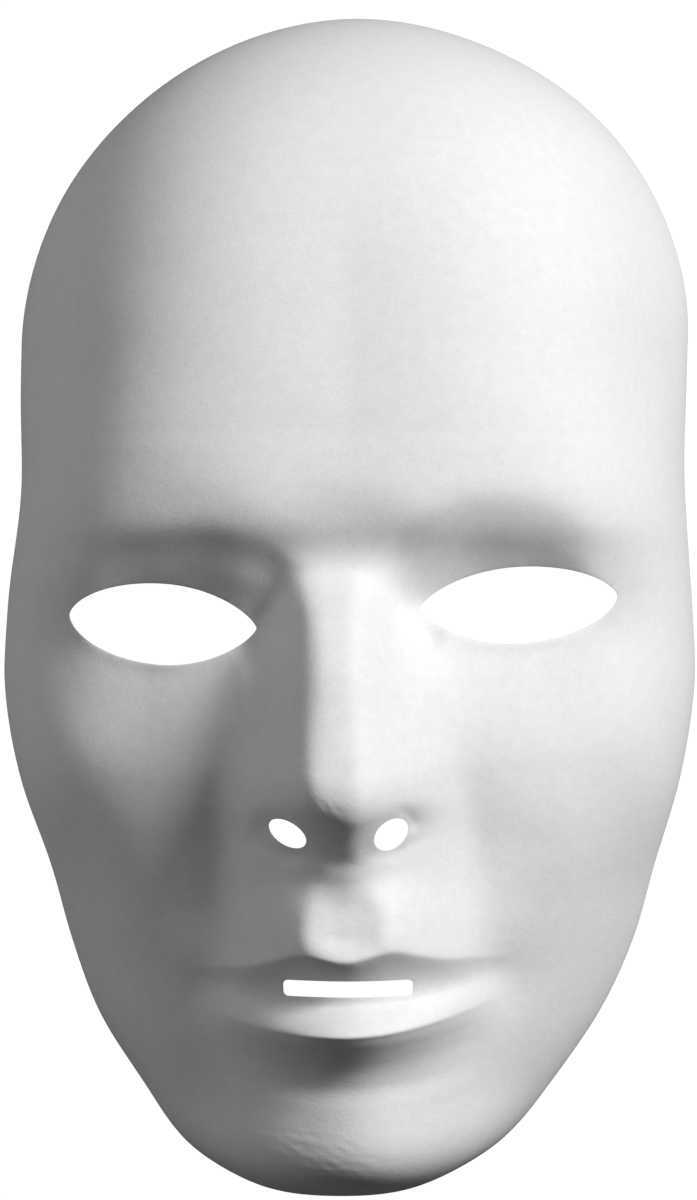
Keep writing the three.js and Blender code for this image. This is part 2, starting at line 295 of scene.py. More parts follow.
@dataclass(frozen=True)
class Dome:
    """The plain dome that the features are laid over."""

    outline: Outline = Outline()
    crown_from_y: float = 34.0
    crown_height: float = 68.0
    crown_bend: float = 2.2
    crest_round: float = 4.0
    narrowest: float = 20.0

    LOWER_MIDDLE = Curve(((-120, 37.6), (-110, 37.4), (-100, 40), (-90, 43.3), (-75, 49.7),
                          (-60, 55.2), (-45, 56.9), (-30, 59.3), (-10, 62.3), (4, 61.7), (10, 63),
                          (16, 66.2), (23, 68.2), (30, 68.3), (34, 68)))
    FULLNESS = Curve(((-120, 2.4), (-80, 1.8), (-45, 1.3), (-10, 2), (10, 3.2), (30, 3.2),
                      (45, 2.9), (75, 2.9), (120, 1.9)))
    FLANK = Curve(((-120, 1.95), (-60, 1.7), (-40, 2.6), (-10, 2.2), (45, 1.55), (75, 1.3),
                   (120, 2.2)))

    def middle_line(self, y: Array) -> Array:
        """Height of the dome along its middle.

        Args:
            y: Plan y in mm.

        Returns:
            Heights in mm.
        """
        rise = (y - self.crown_from_y) / (self.outline.half_length - self.crown_from_y)
        crown = self.crown_height * np.sqrt(1 - np.clip(rise, 0, 1) ** self.crown_bend)
        return np.where(y < self.crown_from_y, self.LOWER_MIDDLE(y), crown)

    def at(self, x: Array, y: Array) -> Array:
        """Height of the dome.

        Args:
            x: Plan x in mm.
            y: Plan y in mm.

        Returns:
            Heights in mm, 0 outside the outline.
        """
        w = self.outline.half_width(y)
        r = np.clip(np.abs(x - self.outline.axis(y)) / np.maximum(w, 1e-6), 0, 1)
        k = self.crest_round / np.maximum(w, self.narrowest)
        r = np.sqrt(r * r + k * k * (1 - r * r))
        full = self.FULLNESS(y)
        share = (1 - r**full) / (1 - k**full)
        return self.middle_line(y) * np.maximum(share, 0) ** (1 / self.FLANK(y))


@dataclass(frozen=True)
class Muzzle:
    """The ridge of muzzle and chin, which the nose stands on."""

    middle_x: float = 1.0
    flat: float = 6.8
    top_round: float = 0.29
    foot_round: float = 0.2
    chin_from_y: float = -76.0
    chin_fade: float = 12.0
    chin_margin: float = 4.0

    HEIGHT = Curve(((-120, 14.5), (-110, 11.6), (-100, 12.2), (-90, 15.2), (-75, 13.5),
                    (-62, 15), (-52, 11), (-45, 9.4), (-36, 6.8), (-25, 1.5), (-15, 0),
                    (-5, 0)))
    REACH = Curve(((-120, 37), (-104, 32), (-90, 31), (-75, 27.5), (-60, 27.5), (-45, 24),
                   (-30, 24.5)))

    def at(self, x: Array, y: Array) -> Array:
        """Height of the ridge: a wedge beside the mouth, rounded over the chin.

        Args:
            x: Across the face, in mm.
            y: Up the face, in mm.

        Returns:
            Heights over the dome, in mm.
        """
        across = x - self.middle_x
        reach = self.REACH(y)
        wedge = ridge_section(off_middle(across), self.flat, reach, self.top_round, self.foot_round)
        rounded = 1 - smooth(np.abs(across) / (reach + self.chin_margin))
        k = smooth((self.chin_from_y - y) / self.chin_fade)
        return self.HEIGHT(y) * (wedge * (1 - k) + rounded * k)


@dataclass(frozen=True)
class Nose:
    """A flat bridge with sloping sides, a rounded tip and wings round the nostrils."""

    middle_x: float = -0.6
    tip_x: float = 2.0
    tip_bend: float = 0.07
    tip_half_squared: float = 60.0
    tip_y: float = -27.0
    tip_fade: float = 10.0
    rise_round: float = 1.6
    root_y: float = 26.0
    root_fade: float = 14.0
    base_y: float = -62.0
    base_fade: float = 6.0
    wing: Lobe = Lobe(12.0, -40.0, 8.2, 9.5, 3.0, 3.0)
    nostril_dent: Lobe = Lobe(14.4, -43.0, 3.3, 3.1, -1.7)
    wing_drop: float = 0.5
    wing_zone: tuple[float, ...] = (3.0, 12.0, 16.0, 24.0)
    wing_y: float = -40.5
    wing_half: float = 4.5

    LINE = Curve(((-60, 68), (-53, 70), (-50, 71.6), (-47, 75), (-44, 79), (-41.5, 82.6),
                  (-39, 84.4), (-36, 85.1), (-31, 84.6), (-22, 82.2), (-10, 78.6),
                  (0, 70.5), (6, 63.2), (11, 61), (18, 58), (30, 56)))
    FLAT = Curve(((-54, 2.2), (-50, 4), (-44, 3.7), (-36, 4.8), (-28, 5.4), (-10, 5.8),
                  (6, 5.8), (16, 8)))
    FOOT = Curve(((-56, 8), (-51, 11.6), (-48, 11.5), (-45, 17), (-41, 20.7), (-36, 21.3),
                  (-28, 22), (-10, 19.8), (-3, 14.6), (4, 11.2), (16, 15)))
    EDGE = Curve(((-45, 0.2), (-36, 0.13), (0, 0.17)))
    BLEND = Curve(((-45, 0.22), (-30, 0.2), (-15, 0.2), (-3, 0.12), (6, 0.35)))

    def at(self, x: Array, y: Array, stands_on: Array) -> Array:
        """Height of the nose.

        Args:
            x: Across the face, in mm.
            y: Up the face, in mm.
            stands_on: Height of dome and muzzle along the middle, in mm.

        Returns:
            Heights over dome and muzzle, in mm.
        """
        ax = off_middle(x - self.middle_x)
        off_tip = (x - self.tip_x) ** 2
        bend = self.tip_bend * off_tip / (1 + off_tip / self.tip_half_squared)
        over = self.LINE(y - bend * smooth((self.tip_y - y) / self.tip_fade)) - stands_on
        lift = (ramp(over, self.rise_round) * smooth((self.root_y - y) / self.root_fade)
                * smooth((y - self.base_y) / self.base_fade))
        drop = self.wing_drop * zone(ax, *self.wing_zone) * bell(y, self.wing_y, self.wing_half)
        section = ridge_section(ax, self.FLAT(y), self.FOOT(y), self.EDGE(y), self.BLEND(y))
        return lift * section + self.wing.at(ax, y) + self.nostril_dent.at(ax, y) - drop


@dataclass(frozen=True)
class EyeSockets:
    """Two hollows that start at the brow's edge, with a deeper one at the upper lid."""

    brow_up: float = 0.75
    brow_lean: float = 2.2
    lean_half_squared: float = 600.0
    brow_round: float = 0.6
    brow_round_out: float = 0.07
    slope: float = 0.55
    slope_length: float = 17.0
    slope_end_round: float = 4.0
    cheek_y: float = -33.0
    cheek_fade: float = 36.0
    lid_slope: float = 0.35
    lid_from: float = 8.0
    lid_from_round: float = 2.0
    lid_to: float = 18.0
    lid_to_round: float = 3.0
    lid_fade: float = 10.0
    corner_fade: float = 16.0
    corner_x: float = 22.0
    corner_half: float = 9.0
    lid_zone: tuple[float, ...] = (8.0, 17.0, 45.0, 55.0)
    temple_x: float = 66.0
    temple_fade: float = 29.0
    nose_x: float = 2.5
    nose_fade: float = 11.0

    BROW_EDGE = Curve(((0, 8), (8, 9.2), (12, 12), (19, 15.2), (26, 17.8), (36, 17.4),
                       (46, 14.3), (54, 8.4), (62, 2), (72, -6)))

    def at(self, x: Array, y: Array) -> Array:
        """Height of the hollows, below 0.

        Args:
            x: Across the face, in mm.
            y: Up the face, in mm.

        Returns:
            Heights over the dome, in mm.
        """
        ax = off_middle(x)
        lean = self.brow_lean * x / np.sqrt(x * x + self.lean_half_squared)
        below = self.BROW_EDGE(ax) + self.brow_up + lean - y
        sides = (ramp(below, self.brow_round + self.brow_round_out * ax)
                 - ramp(below - self.slope_length, self.slope_end_round))
        drop = self.slope * sides * smooth((y - self.cheek_y) / self.cheek_fade)
        fade = self.lid_fade + self.corner_fade * smooth((self.corner_x - ax) / self.corner_half)
        lid = (ramp(below - self.lid_from, self.lid_from_round)
               - ramp(below - self.lid_to, self.lid_to_round))
        deep = (self.lid_slope * lid * smooth((y + fade - 1) / fade)
                * zone(ax, *self.lid_zone))
        return (-(drop + deep) * smooth((self.temple_x - ax) / self.temple_fade)
                * smooth((ax - self.nose_x) / self.nose_fade))


@dataclass(frozen=True)
class Cheeks:
    """Cheekbones, full lower cheeks and the folds between them and the muzzle."""

    bone: Lobe = Lobe(56.5, -28.0, 9.5, 11.5, 1.7)
    full: Lobe = Lobe(44.5, -54.0, 10.0, 19.0, 2.7)
    fold_depth: float = 1.8
    fold_half: float = 5.6
    fold_zone: tuple[float, ...] = (-78.0, -60.0, -42.0, -22.0)

    FOLD_LINE = Curve(((-90, 32), (-70, 24.8), (-50, 23.6), (-25, 23)))

    def at(self, x: Array, y: Array) -> Array:
        """Height of the cheeks.

        Args:
            x: Across the face, in mm.
            y: Up the face, in mm.

        Returns:
            Heights over the dome, in mm.
        """
        ax = off_middle(x)
        across = bell(ax, self.FOLD_LINE(y), self.fold_half)
        fold = self.fold_depth * across * zone(y, *self.fold_zone)
        return self.bone.at(ax, y) + self.full.at(ax, y) - fold


@dataclass(frozen=True)
class Lips:
    """A crisp upper edge turning in to the slot, a full lower lip over a hollow."""

    half: float = 33.5
    run_out: float = 26.0
    edge_height: float = 3.7
    edge_fade: float = 4.9
    edge_bend: float = 1.4
    turn_in: float = 6.2
    turn_bend: float = 0.7
    thinnest: float = 0.8

    TOP = Curve(((0, -69.2), (1.2, -69.15), (4, -68.5), (9.8, -67.6), (14, -68.6),
                 (19, -69.9), (25, -70.3), (31, -70.7), (36, -71)))
    MEETING = Bow(-77.6, 5.1, 32)
    BOTTOM = Bow(-84.6, 6, 31)
    LOWER = Curve(((0, -2.5), (0.1, -2.3), (0.3, -0.8), (0.5, 1.2), (0.7, 3), (0.85, 4),
                   (0.94, 4.3), (1, 3.7)))
    UNDER = Curve(((0, 3.7), (1.4, 2), (3.4, -1), (6.5, -4.5), (10, -5.6), (15, -3.9),
                   (21, -2.3), (27, -1.1), (34, -0.5)))

    def at(self, x: Array, y: Array) -> Array:
        """Height of the lips.

        Args:
            x: Across the face, in mm.
            y: Up the face, in mm.

        Returns:
            Heights over the muzzle, in mm.
        """
        top, meeting, bottom = self.TOP(np.abs(x)), self.MEETING(x), self.BOTTOM(x)
        ends = smooth((self.half - off_middle(x)) / self.run_out)
        over = np.exp(-(np.maximum((y - top) / self.edge_fade, 0) ** self.edge_bend))
        share = np.clip((top - y) / np.maximum(top - meeting, self.thinnest), 0, 1)
        turned_in = self.edge_height - self.turn_in * smooth(share**self.turn_bend)
        upper = np.where(y > top, self.edge_height * over, turned_in) * ends
        share = np.clip((meeting - y) / np.maximum(meeting - bottom, self.thinnest), 0, 1)
        lower = np.where(y > bottom, self.LOWER(share), self.UNDER(bottom - y))
        return np.where(y > meeting, upper, lower * ends)


@dataclass(frozen=True)
class Philtrum:
    """Two banks and a groove between nose and lip."""

    middle_x: float = 0.3
    bank_height: float = 1.2
    bank_half: float = 3.4
    groove_depth: float = 2.2
    groove_share: float = 0.75
    length_zone: tuple[float, ...] = (-70.0, -64.0, -60.5, -51.0)

    BANK = Curve(((-68, 8.2), (-62, 8.7), (-54, 6.8), (-48, 5.7)))

    def at(self, x: Array, y: Array) -> Array:
        """Height of the banks and the groove.

        Args:
            x: Across the face, in mm.
            y: Up the face, in mm.

        Returns:
            Heights over the muzzle, in mm.
        """
        ax = off_middle(x - self.middle_x)
        bank = self.BANK(y)
        across = (self.bank_height * bell(ax, bank, self.bank_half)
                  - self.groove_depth * bell(ax, 0, self.groove_share * bank))
        return across * zone(y, *self.length_zone)


@dataclass(frozen=True)
class Forehead:
    """A flattened middle with a faint furrow, and hollow temples."""

    middle_x: float = 1.0
    flat: Lobe = Lobe(0.0, 58.0, 40.0, 24.0, -1.7)
    furrow: Lobe = Lobe(0.0, 54.0, 10.0, 20.0, -0.5)
    temple: Lobe = Lobe(60.0, 48.0, 9.0, 20.0, -2.8)

    def at(self, x: Array, y: Array) -> Array:
        """Height of the forehead's forms.

        Args:
            x: Plan x in mm.
            y: Plan y in mm.

        Returns:
            Heights over the dome, in mm.
        """
        across = x - self.middle_x
        return (self.flat.at(across, y) + self.furrow.at(across, y)
                + self.temple.at(off_middle(across), y))


@dataclass(frozen=True)
class FaceForm:
    """The face as heights over the rim's plane: a dome with the features laid over it."""

    dome: Dome = Dome()
    muzzle: Muzzle = Muzzle()
    nose: Nose = Nose()
    sockets: EyeSockets = EyeSockets()
    cheeks: Cheeks = Cheeks()
    lips: Lips = Lips()
    philtrum: Philtrum = Philtrum()
    forehead: Forehead = Forehead()
    wall: float = 1.6
    chin_round: float = 17.0
    chin_bend: float = 2.8
    relief_from: float = 20.0
    face_rise: float = 0.04
    face_turn: float = 0.03
    turn_y: float = -42.0

    BALL_RINGS = (0.35, 0.6, 0.8, 0.93, 1.0)  # as shares of the ball's radius
    BALL_POINTS = 12
    SOFT_FORMS = (
        SoftForm("beside_eye", 58, -2, 8, 12, -2.5),
        SoftForm("nose_side", 17, -26, 5, 12, -0.9),
        SoftForm("nose_root", 12, 8, 6, 6, -0.8),
        SoftForm("inner_brow", 14, 18, 8, 6, 0.8),
        SoftForm("brow_middle", 34, 24, 12, 7, -0.7),
        SoftForm("muzzle_side", 20, -58, 7, 8, -1.4),
        SoftForm("mouth_corner", 30, -76, 7, 7, -1.8),
        SoftForm("chin_side", 28, -96, 8, 9, -1.5),
        SoftForm("jaw", 34, -66, 12, 16, 0.5),
    )

    @property
    def outline(self) -> Outline:
        """The outline that the rim follows."""
        return self.dome.outline

    def on_face(self, x: Array, y: Array) -> tuple[Array, Array]:
        """The place on the slightly turned face of a place on the plan."""
        return x + self.face_turn * (y - self.turn_y), y - self.face_rise * x

    def off_face(self, u: float, v: float) -> tuple[float, float]:
        """The place on the plan of a place on the face.

        Args:
            u: Across the face, in mm.
            v: Up the face, in mm.

        Returns:
            Plan x and y in mm.
        """
        x, y = u, v
        for _ in range(6):
            x = u - self.face_turn * (y - self.turn_y)
            y = v + self.face_rise * x
        return x, y

    def relief(self, x: Array, y: Array) -> Array:
        """All the features together.

        Args:
            x: Plan x in mm.
            y: Plan y in mm.

        Returns:
            Heights over the dome, in mm.
        """
        u, v = self.on_face(x, y)
        stands_on = self.dome.middle_line(v) + self.muzzle.HEIGHT(v)
        return (self.nose.at(u, v, stands_on) + self.sockets.at(u, v) + self.cheeks.at(u, v)
                + self.muzzle.at(u, v) + self.lips.at(u, v) + self.philtrum.at(u, v)
                + sum(form.at(u, v) for form in self.SOFT_FORMS) + self.forehead.at(x, y))

    def height(self, x: Array, y: Array) -> Array:
        """Height of the outer face, 0 off the mask.

        Args:
            x: Plan x in mm.
            y: Plan y in mm.

        Returns:
            Heights in mm.
        """
        base = self.dome.at(x, y)
        up = np.clip((y + self.outline.half_length) / self.chin_round, 0, 1)
        z = base + self.relief(x, y) * smooth(base / self.relief_from)
        z = z * np.sqrt(1 - (1 - up) ** self.chin_bend)
        return np.where((base > 0) & (np.abs(y) < self.outline.half_length), z, 0.0)

    def inner_height(self, x: Array, y: Array) -> Array:
        """Height of the inner face: as high as a ball of the wall's radius can reach.

        Args:
            x: Plan x in mm.
            y: Plan y in mm.

        Returns:
            Heights in mm.
        """
        z = self.height(x, y) - self.wall
        for share in self.BALL_RINGS:
            d = self.wall * share
            for k in range(self.BALL_POINTS):
                a = (k + share) * (2 * math.pi / self.BALL_POINTS)
                at = self.height(x + d * math.cos(a), y + d * math.sin(a))
                z = np.minimum(z, at - math.sqrt(max(self.wall**2 - d * d, 0)))
        return z


# The holes


@dataclass(frozen=True)
class Hole:
    """A hole cut straight through the shell."""

    name: str

    def ring(self, form: FaceForm) -> Array:
        """The hole's edge.

        Args:
            form: The face that the hole is in.

        Returns:
            Plan points in mm, counter-clockwise.
        """
        raise NotImplementedError

    def grown(self, form: FaceForm, by: float) -> Array:
        """The hole's edge moved outwards.

        Args:
            form: The face that the hole is in.
            by: How far, in mm.

        Returns:
            As many points as ring gives.
        """
        ring = self.ring(form)
        ahead, behind = np.roll(ring, -1, 0), np.roll(ring, 1, 0)
        t = ahead - behind
        t /= np.linalg.norm(t, axis=1, keepdims=True)
        return ring + by * np.column_stack([t[:, 1], -t[:, 0]])


def turned(x: Array, y: Array, degrees: float) -> Array:
    """Points turned about the origin, one a row."""
    a = math.radians(degrees)
    return np.column_stack([x * math.cos(a) - y * math.sin(a), x * math.sin(a) + y * math.cos(a)])


@dataclass(frozen=True)
class EyeHole(Hole):
    """An almond-shaped eye hole, blunter at the temple."""

    side: Side = Side.LEFT
    x: float = 35.7
    y: float = -0.6
    half: float = 19.6
    up: float = 6.95
    down: float = 8.2
    tilt: float = 3.6
    point_bend: float = 1.325
    blunter: float = 0.125
    change: float = 0.12
    points: int = 210

    def ring(self, form: FaceForm) -> Array:
        """The eye hole's edge.

        Args:
            form: The face that the hole is in.

        Returns:
            Plan points in mm, counter-clockwise.
        """
        a = np.arange(self.points) * (2 * math.pi / self.points)
        s = self.side.value
        outward = s * np.cos(a)
        bend = self.point_bend - self.blunter * np.tanh(outward / self.change)
        bulge = np.abs(np.sin(a)) ** bend
        y = np.where(np.sin(a) > 0, self.up, -self.down) * bulge
        ring = turned(self.half * np.cos(a), y, self.tilt)
        return ring + np.array(form.off_face(s * self.x, self.y))


@dataclass(frozen=True)
class Nostril(Hole):
    """A small turned oval."""

    x: float = 9.5
    y: float = -44.6
    long: float = 3.7
    short: float = 2.65
    turn: float = 44.0
    points: int = 64

    def ring(self, form: FaceForm) -> Array:
        """The nostril's edge.

        Args:
            form: The face that the hole is in.

        Returns:
            Plan points in mm, counter-clockwise.
        """
        a = np.arange(self.points) * (2 * math.pi / self.points)
        ring = turned(self.long * np.cos(a), self.short * np.sin(a), self.turn)
        return ring + np.array(form.off_face(self.x, self.y))


@dataclass(frozen=True)
class MouthSlot(Hole):
    """A straight slot with small round corners, between the lips."""

    x: float = 0.9
    y: float = -74.8
    half: float = 12.75
    rise: float = 1.65
    corner: float = 1.0
    tilt: float = 0.2
    spacing: float = 0.4
    corner_points: int = 7

    def ring(self, form: FaceForm) -> Array:
        """The slot's edge.

        Args:
            form: Not used.

        Returns:
            Plan points in mm, counter-clockwise.
        """
        c = self.corner
        spots = []
        for sx, sy, start in ((1, -1, -90), (1, 1, 0), (-1, 1, 90), (-1, -1, 180)):
            a = np.radians(start + np.linspace(0, 90, self.corner_points))
            spots.append(np.column_stack([sx * (self.half - c) + c * np.cos(a),
                                          sy * (self.rise - c) + c * np.sin(a)]))
        corners = np.concatenate(spots)
        ring = []
        for a, b in zip(corners, np.roll(corners, -1, 0)):
            n = max(1, round(np.linalg.norm(b - a) / self.spacing))
            ring.append(a + (b - a) * (np.arange(n) / n)[:, None])
        ring = np.concatenate(ring)
        return turned(ring[:, 0], ring[:, 1], self.tilt) + np.array([self.x, self.y])


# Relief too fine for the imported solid


@dataclass(frozen=True)
class Wrinkles:
    """A patch of short wavy creases that the pulp took on as it was pressed over a curve."""

    name: str
    x: float
    y: float
    half_long: float
    half_wide: float
    slant: float
    pitch: float
    depth: float
    seed: int
    waves: int = 16
    fan: float = 0.35
    finest: float = 0.65
    widest: float = 1.9
    fade: float = 1.3

    def at(self, x: Array, y: Array) -> Array:
        """Height of the creases.

        Args:
            x: Plan x in mm.
            y: Plan y in mm.

        Returns:
            Heights over the face, in mm.
        """
        a = math.radians(self.slant)
        u = (x - self.x) * math.cos(a) + (y - self.y) * math.sin(a)
        v = -(x - self.x) * math.sin(a) + (y - self.y) * math.cos(a)
        rng = np.random.default_rng(self.seed)
        z = np.zeros_like(x)
        for _ in range(self.waves):
            turn, phase = rng.normal(0.0, self.fan), rng.uniform(0, 2 * math.pi)
            k = 2 * math.pi / (self.pitch * rng.uniform(self.finest, self.widest))
            z += np.sin(k * (v * math.cos(turn) + u * math.sin(turn)) + phase) / k
        inside = smooth(self.fade * (1 - np.hypot(u / self.half_long, v / self.half_wide)))
        return self.depth * z * inside * (2 * math.pi / self.pitch) * math.sqrt(2 / self.waves)


@dataclass(frozen=True)
class Groove:
    """A soft groove along a bent line, or a low ridge where the depth is below 0."""

    name: str
    path: tuple[tuple[float, float], ...]
    width: float
    depth: float
    run_out: float = 0.3

    def at(self, x: Array, y: Array) -> Array:
        """Height of the groove: deepest along its middle, running out at both ends.

        Args:
            x: Plan x in mm.
            y: Plan y in mm.

        Returns:
            Heights over the face, in mm.
        """
        corners = np.array(self.path, float)
        lengths = np.hypot(*np.diff(corners, axis=0).T)
        near, along = np.full_like(x, np.inf), np.zeros_like(x)
        start = 0.0
        for (ax, ay), (bx, by), length in zip(corners[:-1], corners[1:], lengths):
            t = np.clip(((x - ax) * (bx - ax) + (y - ay) * (by - ay)) / length**2, 0, 1)
            away = np.hypot(x - ax - t * (bx - ax), y - ay - t * (by - ay))
            along = np.where(away < near, start + t * length, along)
            near = np.minimum(near, away)
            start += length
        ends = smooth(np.minimum(along, start - along) / (self.run_out * start))
        return -self.depth * np.exp(-((near / self.width) ** 2)) * ends


@dataclass(frozen=True)
class Swell:
    """Soft unevenness of a hand-pressed wall: a few crossing waves."""

    depth: float
    wavelength: float
    seed: int
    waves: int = 9
    finest: float = 0.7
    widest: float = 1.5

    def at(self, x: Array, y: Array) -> Array:
        """Height of the unevenness.

        Args:
            x: Plan x in mm.
            y: Plan y in mm.

        Returns:
            Heights over the face, in mm.
        """
        rng = np.random.default_rng(self.seed)
        z = np.zeros_like(x)
        for _ in range(self.waves):
            a, phase = rng.uniform(0, 2 * math.pi, 2)
            k = 2 * math.pi / (self.wavelength * rng.uniform(self.finest, self.widest))
            z += np.sin(k * (x * math.cos(a) + y * math.sin(a)) + phase)
        return self.depth * z / math.sqrt(self.waves)


@dataclass(frozen=True)
class Patch:
    """A rectangle of the plan in which the mesh is finer."""

    name: str
    x0: float
    x1: float
    y0: float
    y1: float

    def holds(self, plan: Array) -> Array:
        """Which plan points lie in the patch."""
        x, y = plan[:, 0], plan[:, 1]
        return (x > self.x0) & (x < self.x1) & (y > self.y0) & (y < self.y1)


# The mesh


@dataclass
class MeshParts:
    """Vertices and triangles as they are gathered, in mm."""

    points: list[Array] = field(default_factory=list)
    triangles: list[Array] = field(default_factory=list)
    finishes: list[Array] = field(default_factory=list)
    count: int = 0

    def add(self, xyz: Array) -> Array:
        """Adds vertices.

        Args:
            xyz: Their places in mm, one a row.

        Returns:
            Their numbers.
        """
        self.points.append(xyz)
        self.count += len(xyz)
        return np.arange(self.count - len(xyz), self.count)

    def fill(self, triangles: Array, face: WallFace) -> None:
        """Adds triangles with one finish."""
        self.triangles.append(triangles)
        self.finishes.append(np.full(len(triangles), face.value))

    def band(self, a: Array, b: Array, face: WallFace) -> None:
        """Joins two closed rings of as many vertices, a to the left of b going round.

        Args:
            a: Vertex numbers of one ring.
            b: Vertex numbers of the other.
            face: The finish.
        """
        a1, b1 = np.roll(a, -1), np.roll(b, -1)
        self.fill(np.concatenate([np.column_stack([a, b, b1]), np.column_stack([a, b1, a1])]),
                  face)

    def mesh(self, name: str) -> bpy.types.Mesh:
        """A mesh of everything added, in metres.

        Args:
            name: The mesh's name.

        Returns:
            The mesh, smooth shaded, with each triangle's finish as its material index.
        """
        xyz = np.concatenate(self.points) * MM
        tri = np.concatenate(self.triangles)
        mesh = bpy.data.meshes.new(name)
        mesh.vertices.add(len(xyz))
        mesh.vertices.foreach_set("co", xyz.astype(np.float32).ravel())
        mesh.loops.add(3 * len(tri))
        mesh.loops.foreach_set("vertex_index", tri.astype(np.int32).ravel())
        mesh.polygons.add(len(tri))
        mesh.polygons.foreach_set("loop_start", np.arange(0, 3 * len(tri), 3, dtype=np.int32))
        mesh.polygons.foreach_set("material_index", np.concatenate(self.finishes).astype(np.int32))
        mesh.update(calc_edges=True)
        mesh.validate()
        mesh.shade_smooth()
        return mesh


@dataclass
class ShellMesher:
    """Turns the face into a closed shell: two sheets, a rounded rim, rounded hole edges."""

    form: FaceForm
    holes: tuple[Hole, ...]
    outer_spacing: float = 1.25
    patch_spacing: float = 0.6
    inner_spacing: float = 2.0
    patches: tuple[Patch, ...] = ()
    rim_points: int = 760
    rim_round: float = 0.5
    rim_clear: float = 0.3
    lattice_clear: float = 0.6
    hole_round: float = 0.15
    hole_flare: float = 0.35
    hole_clear: float = 0.55
    relief_from: float = 12.0
    round_steps: int = 4
    fine: Callable[[Array, Array], Array] | None = None
    inner_fine: Callable[[Array, Array], Array] | None = None

    ARC = np.array([110.0, 188.0])  # mm of domed face for a unit of the disc, across and along
    ROW = 0.866  # distance between rows of even triangles, as a share of their side

    def outer(self, plan: Array) -> Array:
        """Heights of the outer face, with its fine relief.

        Args:
            plan: Plan points in mm, one a row.

        Returns:
            Heights in mm.
        """
        x, y = plan.T
        z = self.form.height(x, y)
        if self.fine is not None:
            z = z + self.fine(x, y) * smooth(z / self.relief_from)
        return z

    def inner(self, plan: Array) -> Array:
        """Heights of the inner face, with its fine relief.

        Args:
            plan: Plan points in mm, one a row.

        Returns:
            Heights in mm.
        """
        x, y = plan.T
        z = self.form.inner_height(x, y)
        if self.inner_fine is not None:
            z = z + self.inner_fine(x, y) * smooth(z / self.relief_from)
        return z

    def lattice(self, spacing: float) -> Array:
        """Evenly spread points of the disc, in rows shifted by half a step.

        Args:
            spacing: Distance on the domed face, in mm.

        Returns:
            Disc points.
        """
        step, rise = spacing / self.ARC[0], spacing * self.ROW / self.ARC[1]
        rows = np.arange(-math.ceil(1 / rise), math.ceil(1 / rise) + 1)
        columns = np.arange(-math.ceil(1 / step) - 1, math.ceil(1 / step) + 2)
        x = (columns[None, :] + 0.5 * (rows[:, None] % 2)) * step
        y = np.broadcast_to(rows[:, None] * rise, x.shape)
        disc = np.column_stack([x.ravel(), y.ravel()])
        rho = np.hypot(disc[:, 0], disc[:, 1])
        return disc[rho < 1 - self.lattice_clear * spacing / self.ARC[0]]

    def in_patch(self, plan: Array) -> Array:
        """Which plan points lie in any patch.

        Args:
            plan: Plan points in mm, one a row.

        Returns:
            True for each point in a patch.
        """
        held = np.zeros(len(plan), bool)
        for patch in self.patches:
            held |= patch.holds(plan)
        return held

    def scatter(self, face: WallFace, inset: float, spacing: float) -> tuple[Array, Array]:
        """Spreads vertices over one face, closer together in the patches of the outer one.

        Args:
            face: Which face it is.
            inset: How far its outline lies inside the rim's, in mm.
            spacing: Distance between vertices, in mm.

        Returns:
            Disc points and the plan points they lie on.
        """
        disc = self.lattice(spacing)
        plan = self.form.outline.to_plan(disc, inset)
        if face is WallFace.INNER:
            return disc, plan
        fine_disc = self.lattice(self.patch_spacing)
        fine_plan = self.form.outline.to_plan(fine_disc, inset)
        plain, fine = ~self.in_patch(plan), self.in_patch(fine_plan)
        return (np.concatenate([disc[plain], fine_disc[fine]]),
                np.concatenate([plan[plain], fine_plan[fine]]))

    @staticmethod
    def within(plan: Array, ring: Array) -> Array:
        """Which plan points lie inside a closed ring.

        Args:
            plan: Plan points in mm, one a row.
            ring: The ring's points in mm, one a row.

        Returns:
            True for each point inside.
        """
        x, y = plan.T
        inside = np.zeros(len(plan), bool)
        near = ((x > ring[:, 0].min()) & (x < ring[:, 0].max())
                & (y > ring[:, 1].min()) & (y < ring[:, 1].max()))
        px, py = x[near], y[near]
        odd = np.zeros(len(px), bool)
        for (ax, ay), (bx, by) in zip(ring, np.roll(ring, -1, 0)):
            if ay != by:
                cross = (ay > py) != (by > py)
                odd ^= cross & (px < (bx - ax) * (py - ay) / (by - ay) + ax)
        inside[near] = odd
        return inside

    def rim_disc(self) -> Array:
        """The rim's points on the disc, one a row."""
        turn = np.arange(self.rim_points) * (2 * math.pi / self.rim_points)
        return np.column_stack([np.cos(turn), np.sin(turn)])

    def stitch(self, loops: list[Array], loose: Array) -> Array:
        """Joins closed loops and the points between them into triangles.

        Args:
            loops: Loops of disc points, whose sides stay edges of the mesh.
            loose: The other disc points.

        Returns:
            Triangles as rows of numbers, counted through the loops and then the other points.

        Raises:
            ValueError: If edges cross, which would add vertices.
        """
        flat = np.concatenate(loops + [loose])
        links, start = [], 0
        for loop in loops:
            n = len(loop)
            links += [(start + i, start + (i + 1) % n) for i in range(n)]
            start += n
        out = delaunay_2d_cdt([Vector(p) for p in (flat * self.ARC).tolist()], links, [], 0, 1e-6)
        if len(out[0]) != len(flat):
            raise ValueError(f"{len(out[0]) - len(flat)} vertices came from crossing edges")
        return np.array(out[2])

